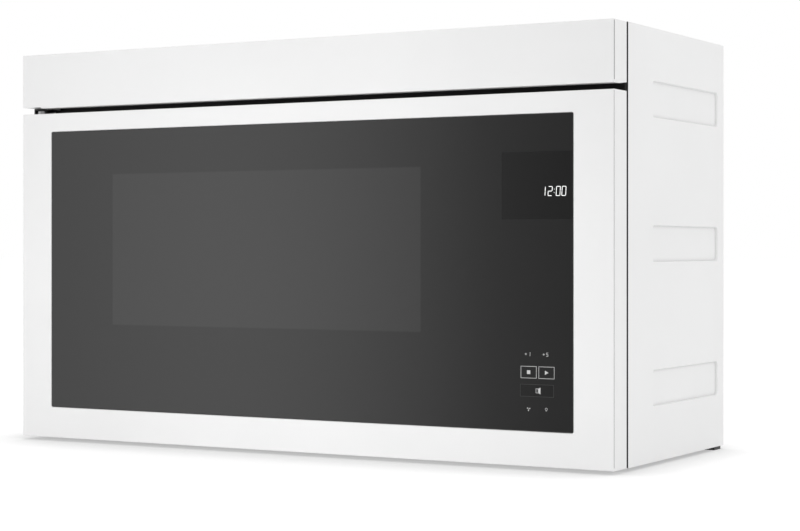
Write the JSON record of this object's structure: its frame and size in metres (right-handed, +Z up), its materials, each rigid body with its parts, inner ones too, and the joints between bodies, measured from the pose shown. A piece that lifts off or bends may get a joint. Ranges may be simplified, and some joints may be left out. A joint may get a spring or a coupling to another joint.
{
  "type": "over-the-range microwave",
  "caption": "Flush over-the-range microwave with a side-swing glass door, top vent band, vent blower, duct outlet and grease filters below.",
  "frame": {"origin": "centre of the footprint, on the plane that the feet stand on", "axes": "+Z up, +X to the right seen from the front, the door faces -Y"},
  "size_m": [0.759, 0.308, 0.4541],
  "materials": {
    "white_enamel": "satin",
    "white_moulding": "satin",
    "black_moulding": "matte",
    "black_panel_paint": "satin",
    "zinc_steel": "satin",
    "cavity_enamel": "satin",
    "ceramic": "smooth",
    "aluminium": "brushed",
    "white_nylon": "matte",
    "dark_glass": "polished",
    "clear_glass": "polished",
    "choke_paint": "matte"
  },
  "bodies": {
    "root": {"antenna_motor": "zinc_steel", "back_panel": "zinc_steel", "base_plate": "black_panel_paint", "blower_housing_left": "zinc_steel", "blower_housing_right": "zinc_steel", "blower_motor": "zinc_steel", "bulkhead": "black_panel_paint", "bulkhead_screws": "zinc_steel", "case_wrap": "white_enamel", "cavity_lamp": "clear_glass", "ceramic_floor": "ceramic", "charcoal_filter": "black_moulding", "control_board": "black_moulding", "cord_gland": "black_moulding", "door_opener": "black_moulding", "exhaust_adaptor": "zinc_steel", "fan_frame": "black_moulding", "high_voltage_capacitor": "aluminium", "high_voltage_transformer": "zinc_steel", "hinge_lower": "zinc_steel", "hinge_upper": "zinc_steel", "interlock_switch_lower": "black_moulding", "interlock_switch_upper": "black_moulding", "lamp_board_left": "black_moulding", "lamp_board_right": "black_moulding", "lamp_lens_left": "clear_glass", "lamp_lens_right": "clear_glass", "latch_board": "black_moulding", "line_filter": "black_moulding", "magnetron": "aluminium", "oven_cavity": "cavity_enamel", "vent_band": "white_moulding", "vent_louvre": "black_moulding", "waveguide": "zinc_steel"},
    "door": {"door_frame": "white_moulding", "door_glass": "dark_glass", "door_liner": "black_moulding", "choke_panel": "choke_paint", "window_screen": "choke_paint", "inner_pane": "clear_glass", "display_module": "black_moulding", "touch_board": "white_nylon", "door_bush_upper": "zinc_steel", "door_bush_lower": "zinc_steel", "latch_brackets": "zinc_steel", "door_screws": "zinc_steel"},
    "upper_hook": {"latch_hook_upper": "white_nylon"},
    "lower_hook": {"latch_hook_lower": "white_nylon"},
    "latch_link": {"latch_link": "white_nylon"},
    "pusher": {"opener_pusher": "white_nylon"},
    "upper_plunger": {"switch_plunger_upper": "white_nylon"},
    "lower_plunger": {"switch_plunger_lower": "white_nylon"},
    "antenna": {"rotating_antenna": "aluminium"},
    "blower": {"blower_shaft": "zinc_steel", "blower_wheel_left": "white_nylon", "blower_wheel_right": "white_nylon"},
    "fan": {"fan_wheel": "black_moulding"},
    "damper": {"damper_flap": "zinc_steel"},
    "left_filter": {"grease_filter_left": "aluminium"},
    "right_filter": {"grease_filter_right": "aluminium"}
  },
  "joints": [
    {"name": "door_hinge", "type": "hinge", "parent": "root", "child": "door", "pos_m": [-0.36947, -0.12965, 0.2], "axis": [0, 0, -1], "range_deg": [0, 95]},
    {"name": "upper_hook_turn", "type": "hinge", "parent": "door", "child": "upper_hook", "pos_m": [0.34997, -0.13265, 0.3], "axis": [1, 0, 0], "range_deg": [-10, 0]},
    {"name": "lower_hook_turn", "type": "hinge", "parent": "door", "child": "lower_hook", "pos_m": [0.34997, -0.13265, 0.15], "axis": [1, 0, 0], "range_deg": [-10, 0]},
    {"name": "link_lift", "type": "slide", "parent": "door", "child": "latch_link", "axis": [0, 0, 1], "range_m": [0, 0.0014]},
    {"name": "opener_push", "type": "slide", "parent": "root", "child": "pusher", "axis": [0, -1, 0], "range_m": [0, 0.0045], "stiffness_N_per_m": 150},
    {"name": "upper_plunger_press", "type": "slide", "parent": "root", "child": "upper_plunger", "axis": [0, 1, 0], "range_m": [0, 0.0015], "stiffness_N_per_m": 200},
    {"name": "lower_plunger_press", "type": "slide", "parent": "root", "child": "lower_plunger", "axis": [0, 1, 0], "range_m": [0, 0.0015], "stiffness_N_per_m": 200},
    {"name": "antenna_spin", "type": "hinge", "parent": "root", "child": "antenna", "pos_m": [-0.04748, 0.0111, 0.112], "axis": [0, 0, 1], "continuous": true},
    {"name": "blower_spin", "type": "hinge", "parent": "root", "child": "blower", "pos_m": [0, 0.09005, 0.39415], "axis": [1, 0, 0], "continuous": true},
    {"name": "fan_spin", "type": "hinge", "parent": "root", "child": "fan", "pos_m": [0.32998, 0.12, 0.215], "axis": [0, 1, 0], "continuous": true},
    {"name": "damper_swing", "type": "hinge", "parent": "root", "child": "damper", "pos_m": [0, 0.13005, 0.44815], "axis": [-1, 0, 0], "range_deg": [0, 75]},
    {"name": "left_filter_drop", "type": "slide", "parent": "root", "child": "left_filter", "axis": [0, 0, -1], "range_m": [0, 0.02]},
    {"name": "right_filter_drop", "type": "slide", "parent": "root", "child": "right_filter", "axis": [0, 0, -1], "range_m": [0, 0.02]}
  ],
  "couplings": [
    {"joint": "lower_hook_turn", "follows": "upper_hook_turn", "ratio": 1},
    {"joint": "link_lift", "follows": "upper_hook_turn", "m_per_rad": -0.008}
  ]
}
